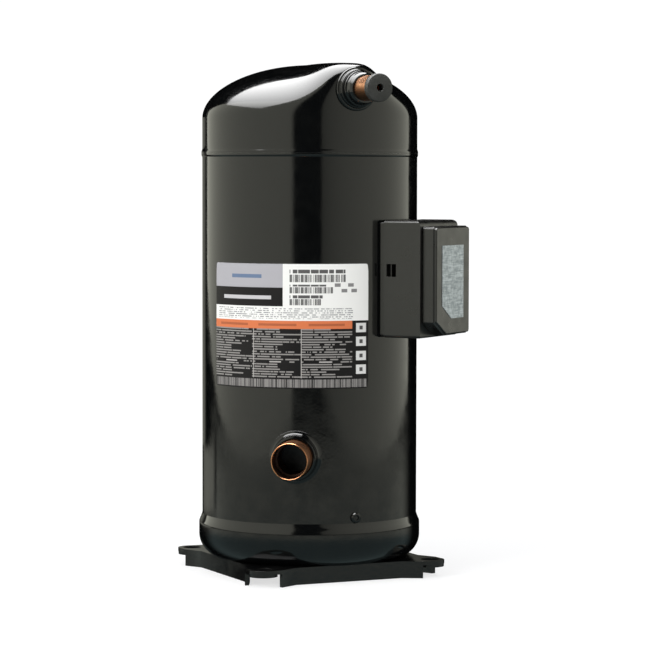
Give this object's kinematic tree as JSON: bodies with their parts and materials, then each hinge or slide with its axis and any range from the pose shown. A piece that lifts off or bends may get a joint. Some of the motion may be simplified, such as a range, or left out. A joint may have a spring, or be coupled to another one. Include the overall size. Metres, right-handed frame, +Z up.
{
  "type": "hermetic scroll compressor",
  "caption": "Upright hermetic scroll compressor: welded black shell on a pressed base plate, copper suction and discharge stubs, side terminal box, scroll set, crank drive and motor inside.",
  "frame": {"origin": "centre of the four base holes, on the plane that the base plate's flanges stand on", "axes": "+Z up along the shell, -Y to the front, which the discharge stub faces, +X to the right seen from the front"},
  "size_m": [0.2492, 0.2844, 0.5325],
  "materials": {
    "black_enamel": "high gloss baked enamel",
    "base_paint": "satin black enamel",
    "label_film": "printed film, semi gloss",
    "copper": "drawn copper tube, lightly tarnished",
    "winding_copper": "varnished copper wire",
    "sheet_steel": "pressed bare steel",
    "bearing_bronze": "bronze backed bearing lining",
    "cap_rubber": "moulded",
    "gasket_rubber": "moulded",
    "grey_iron": "machined casting",
    "ring_alloy": "die cast",
    "ground_steel": "ground",
    "bolt_steel": "dark plated",
    "electrical_steel": "stacked sheets",
    "magnet": "sintered",
    "protector": "moulded",
    "lead_sleeve": "sleeving",
    "plug_plastic": "moulded",
    "glass_bead": "fused",
    "pin_steel": "nickel plated",
    "block_plastic": "moulded",
    "plated_screws": "zinc plated",
    "ground_green": "zinc plated, green",
    "box_plastic": "moulded, semi gloss",
    "cover_foil": "printed metallic film"
  },
  "bodies": {
    "housing": {"base_plate": "base_paint", "bottom_cup": "black_enamel", "shell_tube": "black_enamel", "top_cap": "black_enamel", "oil_port_plug": "black_enamel", "rating_label": "label_film", "suction_collar": "black_enamel", "suction_stub": "copper", "suction_deflector": "sheet_steel", "discharge_collar": "black_enamel", "discharge_stub": "copper", "muffler_plate": "sheet_steel", "scroll_guide_sleeves": "ground_steel", "scroll_bolts": "bolt_steel", "main_bearing_housing": "grey_iron", "main_bearing_bush": "bearing_bronze", "stator_core": "electrical_steel", "stator_winding": "winding_copper", "motor_protector": "protector", "lower_bearing_bracket": "grey_iron", "lower_bearing_bush": "bearing_bronze", "thrust_washer": "ground_steel", "sump_magnet": "magnet", "motor_leads": "lead_sleeve", "lead_plug": "plug_plastic", "terminal_body": "sheet_steel", "terminal_glass": "glass_bead", "terminal_pins": "pin_steel", "terminal_block": "block_plastic", "terminal_screws": "plated_screws", "terminal_box": "box_plastic", "box_gasket": "gasket_rubber", "box_screws": "plated_screws", "ground_screw": "ground_green"},
    "crankshaft": {"crankshaft": "ground_steel", "oil_pickup_tube": "sheet_steel", "upper_counterweight": "bolt_steel", "lower_counterweight": "bolt_steel", "rotor_core": "electrical_steel", "rotor_end_rings": "ring_alloy"},
    "drive_bushing": {"drive_bushing": "ground_steel"},
    "orbiting_scroll": {"orbiting_scroll": "grey_iron", "orbiting_scroll_bush": "bearing_bronze"},
    "oldham_ring": {"oldham_ring": "ring_alloy"},
    "fixed_scroll": {"fixed_scroll": "grey_iron", "valve_retainer": "sheet_steel"},
    "floating_seal": {"floating_seal": "grey_iron"},
    "discharge_valve": {"discharge_valve_disc": "ground_steel"},
    "terminal_cover": {"terminal_cover": "box_plastic", "cover_plate": "cover_foil"},
    "dust_cap": {"discharge_dust_cap": "cap_rubber"}
  },
  "joints": [
    {"name": "crank_spin", "type": "hinge", "parent": "housing", "child": "crankshaft", "pos_m": [0, 0, 0.3], "axis": [0, 0, 1], "continuous": true},
    {"name": "bushing_slide", "type": "slide", "parent": "crankshaft", "child": "drive_bushing", "axis": [1, 0, 0], "range_m": [-0.001, 0]},
    {"name": "orbit_hinge", "type": "hinge", "parent": "drive_bushing", "child": "orbiting_scroll", "pos_m": [0.0063, 0, 0.365], "axis": [0, 0, 1], "continuous": true},
    {"name": "oldham_slide", "type": "slide", "parent": "housing", "child": "oldham_ring", "axis": [1, 0, 0], "range_m": [-0.0126, 0]},
    {"name": "fixed_scroll_lift", "type": "slide", "parent": "housing", "child": "fixed_scroll", "axis": [0, 0, 1], "range_m": [0, 0.0008]},
    {"name": "seal_lift", "type": "slide", "parent": "fixed_scroll", "child": "floating_seal", "axis": [0, 0, 1], "range_m": [0, 0.0012]},
    {"name": "valve_lift", "type": "slide", "parent": "fixed_scroll", "child": "discharge_valve", "axis": [0, 0, 1], "range_m": [0, 0.0039]},
    {"name": "cover_pull", "type": "slide", "parent": "housing", "child": "terminal_cover", "axis": [0.6088, -0.7934, 0], "range_m": [0, 0.06]},
    {"name": "cap_pull", "type": "slide", "parent": "housing", "child": "dust_cap", "axis": [0, -1, 0], "range_m": [0, 0.03]}
  ],
  "couplings": [
    {"joint": "orbit_hinge", "follows": "crank_spin", "ratio": -1}
  ]
}
